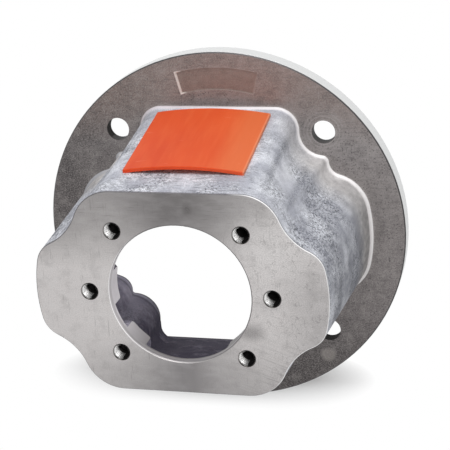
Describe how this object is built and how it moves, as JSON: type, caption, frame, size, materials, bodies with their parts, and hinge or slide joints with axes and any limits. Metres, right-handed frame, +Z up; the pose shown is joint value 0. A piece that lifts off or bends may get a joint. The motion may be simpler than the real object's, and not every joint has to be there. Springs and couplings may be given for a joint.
{
  "type": "pump bell housing",
  "caption": "Cast aluminium bell housing between an electric motor and a hydraulic pump, with a window cover.",
  "frame": {"origin": "centre of the pump's bolt pattern and pilot bore, in the plane of the pump face", "axes": "+Y along the bore towards the motor, +Z up towards the access window, +X to the right seen from the pump"},
  "size_m": [0.2286, 0.1222, 0.2286],
  "materials": {
    "cast_aluminium": "satin",
    "orange_plastic": "semi-gloss"
  },
  "bodies": {
    "root": {"housing": "cast_aluminium", "window_cover": "orange_plastic"}
  },
  "joints": []
}
